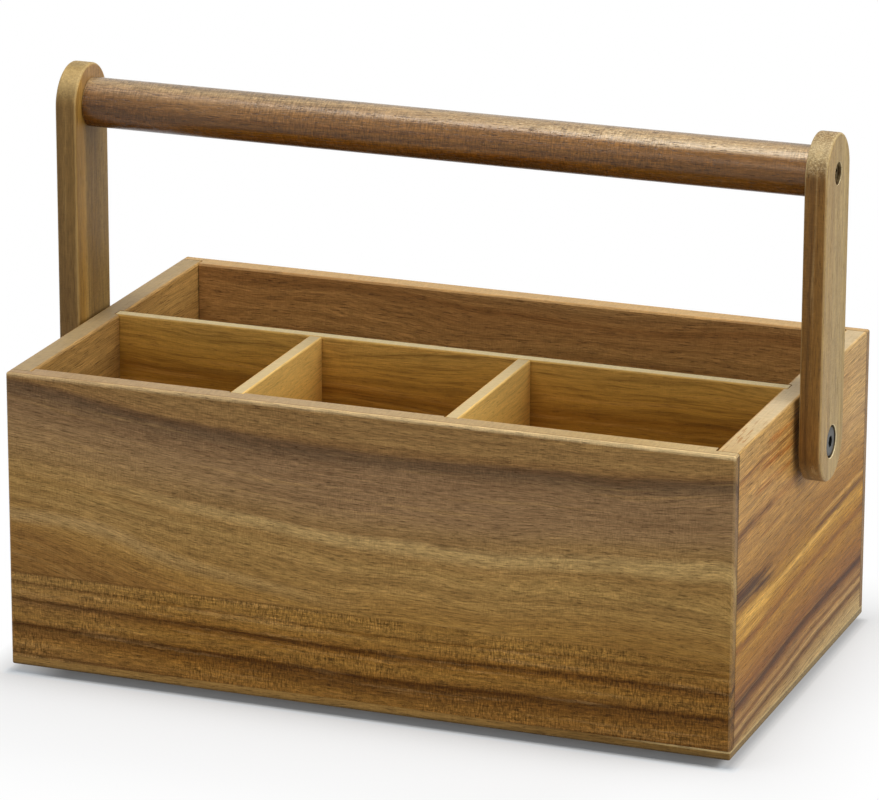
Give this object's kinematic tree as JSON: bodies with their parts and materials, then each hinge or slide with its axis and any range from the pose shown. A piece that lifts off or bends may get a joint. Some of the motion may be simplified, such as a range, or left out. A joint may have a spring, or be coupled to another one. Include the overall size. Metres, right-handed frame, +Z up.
{
  "type": "table caddy with bail handle",
  "caption": "Open rectangular wooden table caddy: a long bay for plates behind smaller bays for cutlery, and a bail handle of flat arms and a round bar that swings over the front or the back.",
  "frame": {"origin": "on the table, under the centre of the box's footprint", "axes": "+X along the box towards the wide cutlery bay, +Y towards the plate bay at the back, +Z up"},
  "size_m": [0.3004, 0.168, 0.2136],
  "materials": {
    "acacia_brown": "oiled, satin, with a broad grey-brown band and thin dark streaks along the board",
    "acacia_warm": "oiled, satin, golden tan with dark streaks along the board",
    "acacia_tan": "oiled, satin, khaki tan with fine upright grain",
    "walnut_brown": "oiled, satin, reddish brown with fine grain along the bar",
    "pale_wood": "oiled, satin, pale straw yellow",
    "black_steel": "black oxide, satin",
    "bright_steel": "zinc plated, satin",
    "insert_brass": "turned",
    "pad_rubber": "matt"
  },
  "bodies": {
    "box": {"bottom_board": "acacia_warm", "side_board_left": "acacia_warm", "side_board_right": "acacia_warm", "front_board": "acacia_brown", "back_board": "acacia_brown", "long_divider": "pale_wood", "cross_divider_left": "pale_wood", "cross_divider_right": "pale_wood", "pivot_bolt_left": "black_steel", "pivot_washer_left": "bright_steel", "threaded_insert_left": "insert_brass", "pivot_bolt_right": "black_steel", "pivot_washer_right": "bright_steel", "threaded_insert_right": "insert_brass", "foot_front_left": "pad_rubber", "foot_front_right": "pad_rubber", "foot_back_left": "pad_rubber", "foot_back_right": "pad_rubber", "base_screw_front_1": "bright_steel", "base_screw_front_2": "bright_steel", "base_screw_front_3": "bright_steel", "base_screw_back_1": "bright_steel", "base_screw_back_2": "bright_steel", "base_screw_back_3": "bright_steel", "base_screw_left_1": "bright_steel", "base_screw_left_2": "bright_steel", "base_screw_right_1": "bright_steel", "base_screw_right_2": "bright_steel"},
    "handle": {"handle_bar": "walnut_brown", "handle_arm_left": "acacia_tan", "handle_arm_right": "acacia_tan", "bar_screw_left": "black_steel", "bar_screw_right": "black_steel"}
  },
  "joints": [
    {"name": "handle_swing", "type": "hinge", "parent": "box", "child": "handle", "pos_m": [0, 0, 0.0983], "axis": [1, 0, 0], "range_deg": [-111, 111]}
  ]
}
